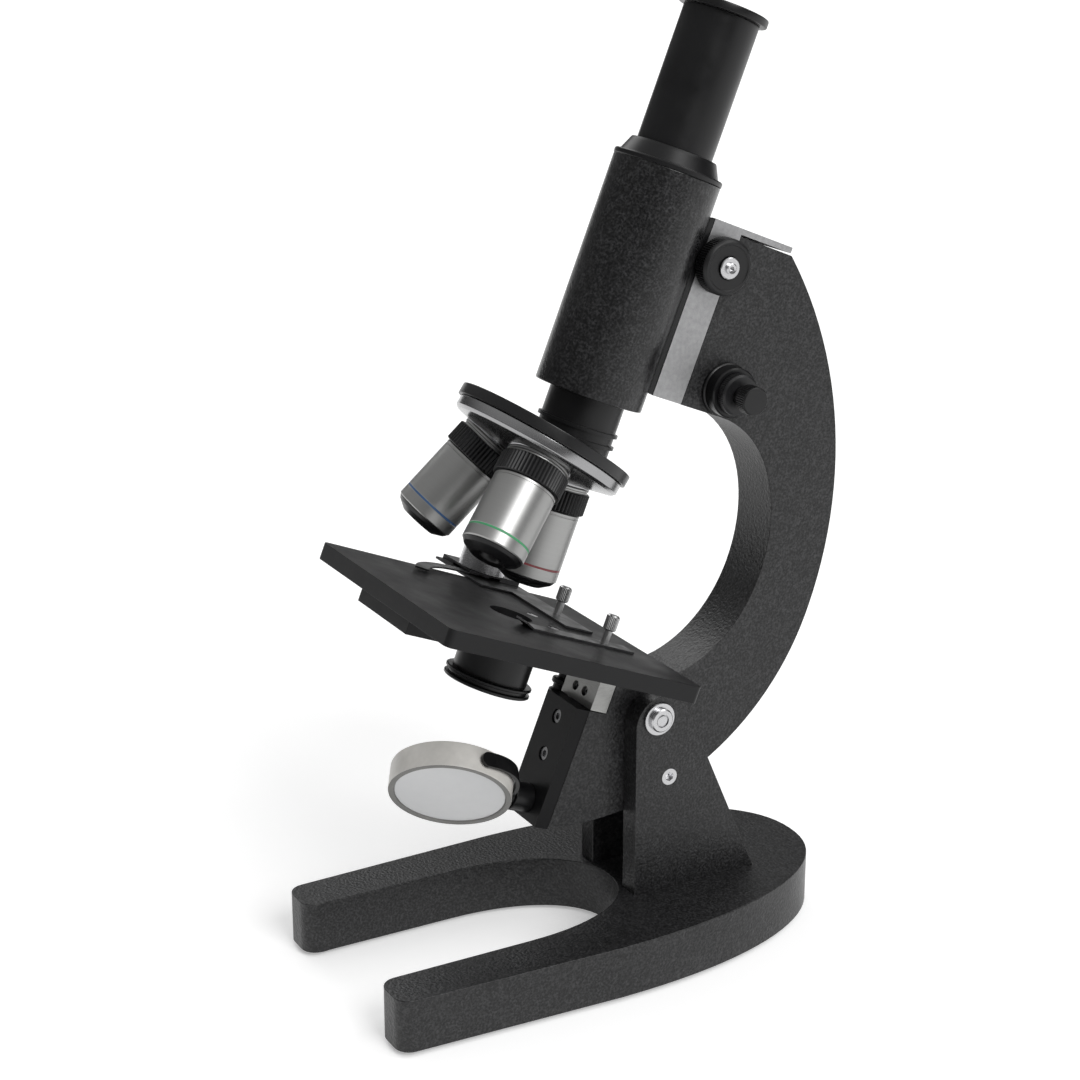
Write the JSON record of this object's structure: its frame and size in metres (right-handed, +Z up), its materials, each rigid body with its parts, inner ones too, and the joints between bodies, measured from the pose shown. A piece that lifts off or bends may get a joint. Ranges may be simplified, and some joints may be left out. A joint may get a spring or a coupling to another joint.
{
  "type": "microscope",
  "caption": "Upright student microscope on a black horseshoe base, with a tilting arm, rack focus, revolving nosepiece, square stage with slide holder, and a mirror below.",
  "frame": {"origin": "centre of the heel foot's face, on the desk", "axes": "+Z up, +X to the object's right, -Y towards the tips of the base and the front of the stage"},
  "size_m": [0.1302, 0.206, 0.3562],
  "materials": {
    "enamel": "fine crinkle enamel, semi-gloss",
    "iron_enamel": "cast iron under fine crinkle enamel",
    "satin_black": "satin black",
    "stage_black": "smooth matt black",
    "black_knurl": "blackened, knurled rim",
    "bead_blast": "bead blasted",
    "bare_metal": "milled",
    "brushed": "turned and brushed",
    "polished": "polished",
    "steel": "turned",
    "dark_steel": "darkened spring steel",
    "grey_enamel": "smooth light grey enamel",
    "mirror": "silvered",
    "glass": "polished",
    "rubber": "matt"
  },
  "bodies": {
    "stand": {"base": "iron_enamel", "rubber_feet": "rubber", "pillar_left": "iron_enamel", "pillar_right": "iron_enamel", "pillar_screws": "steel", "tilt_bolt": "steel", "tilt_washers": "steel", "tilt_nut": "steel", "tilt_lock_screw": "steel"},
    "arm": {"arm": "enamel", "fine_bush": "black_knurl", "stage": "stage_black", "stage_rib": "stage_black", "stage_screws": "dark_steel", "stage_bracket": "bare_metal", "arm_screws": "dark_steel", "clip_pins": "dark_steel", "slide_holder": "dark_steel", "condenser_tube": "satin_black", "condenser_lens": "glass", "tail_bar": "satin_black", "mirror_stem": "satin_black"},
    "fine_knob": {"fine_spindle": "steel", "fine_drum": "black_knurl", "fine_knob": "black_knurl"},
    "carriage": {"carriage": "bead_blast"},
    "pinion": {"pinion_shaft": "steel", "coarse_knob_left": "black_knurl", "coarse_knob_right": "black_knurl", "coarse_knob_screws": "steel"},
    "tube": {"tube_slide": "satin_black", "rack": "steel", "body_tube": "enamel", "tube_cap": "satin_black", "eyepiece_tube": "satin_black", "nose_tube": "satin_black", "nosepiece_plate": "satin_black", "turret_screw": "steel"},
    "eyepiece": {"eyepiece_barrel": "polished", "eyepiece_cap": "satin_black", "eye_lens": "glass", "field_lens": "glass", "field_stop": "satin_black"},
    "nosepiece": {"turret": "polished", "low_objective": "brushed", "low_collar": "black_knurl", "low_lens": "satin_black", "mid_objective": "brushed", "mid_collar": "black_knurl", "mid_lens": "satin_black", "high_objective": "brushed", "high_collar": "black_knurl", "high_lens": "satin_black"},
    "clip": {"stage_clip": "dark_steel"},
    "holder_finger": {"holder_finger": "dark_steel", "holder_knob": "bare_metal"},
    "thumbscrew": {"stage_thumbscrew": "black_knurl"},
    "fork": {"mirror_fork": "satin_black"},
    "mirror": {"mirror_housing": "grey_enamel", "mirror_glass": "mirror"}
  },
  "joints": [
    {"name": "arm_tilt", "type": "hinge", "parent": "stand", "child": "arm", "pos_m": [0, -0.063, 0.0936], "axis": [1, 0, 0], "range_deg": [-45, 22.2]},
    {"name": "fine_focus", "type": "slide", "parent": "arm", "child": "carriage", "axis": [0, 0.3778, 0.9259], "range_m": [-0.0005, 0.0015]},
    {"name": "fine_spin", "type": "hinge", "parent": "arm", "child": "fine_knob", "pos_m": [0, -0.03143, 0.2141], "axis": [1, 0, 0], "range_deg": [-451, 1351]},
    {"name": "coarse_focus", "type": "slide", "parent": "carriage", "child": "tube", "axis": [0, 0.3778, 0.9259], "range_m": [-0.009, 0.028]},
    {"name": "coarse_spin", "type": "hinge", "parent": "carriage", "child": "pinion", "pos_m": [0, -0.03589, 0.26086], "axis": [1, 0, 0], "range_deg": [-383, 123.2]},
    {"name": "eyepiece_lift", "type": "slide", "parent": "tube", "child": "eyepiece", "axis": [0, 0.3778, 0.9259], "range_m": [0, 0.03]},
    {"name": "nosepiece_turn", "type": "hinge", "parent": "tube", "child": "nosepiece", "pos_m": [0, -0.06933, 0.2488], "axis": [-0.0307, 0.5859, 0.8098], "continuous": true},
    {"name": "clip_swing", "type": "hinge", "parent": "arm", "child": "clip", "pos_m": [0.0175, -0.08552, 0.12655], "axis": [0, 0.3778, 0.9259], "range_deg": [-15, 60]},
    {"name": "finger_swing", "type": "hinge", "parent": "arm", "child": "holder_finger", "pos_m": [-0.0596, -0.09597, 0.1319], "axis": [0, 0.3778, 0.9259], "range_deg": [-30, 8]},
    {"name": "thumbscrew_turn", "type": "hinge", "parent": "arm", "child": "thumbscrew", "pos_m": [-0.0158, -0.08263, 0.10161], "axis": [0, 0.3778, 0.9259], "range_deg": [-360, 0]},
    {"name": "fork_turn", "type": "hinge", "parent": "arm", "child": "fork", "pos_m": [0, -0.1398, 0.07612], "axis": [0, -0.9259, 0.3778], "continuous": true},
    {"name": "mirror_tip", "type": "hinge", "parent": "fork", "child": "mirror", "pos_m": [0, -0.1398, 0.07612], "axis": [0.7396, 0.2543, 0.6231], "continuous": true}
  ],
  "couplings": [
    {"joint": "fine_spin", "follows": "fine_focus", "rad_per_m": 15708},
    {"joint": "coarse_spin", "follows": "coarse_focus", "rad_per_m": -238.1}
  ]
}
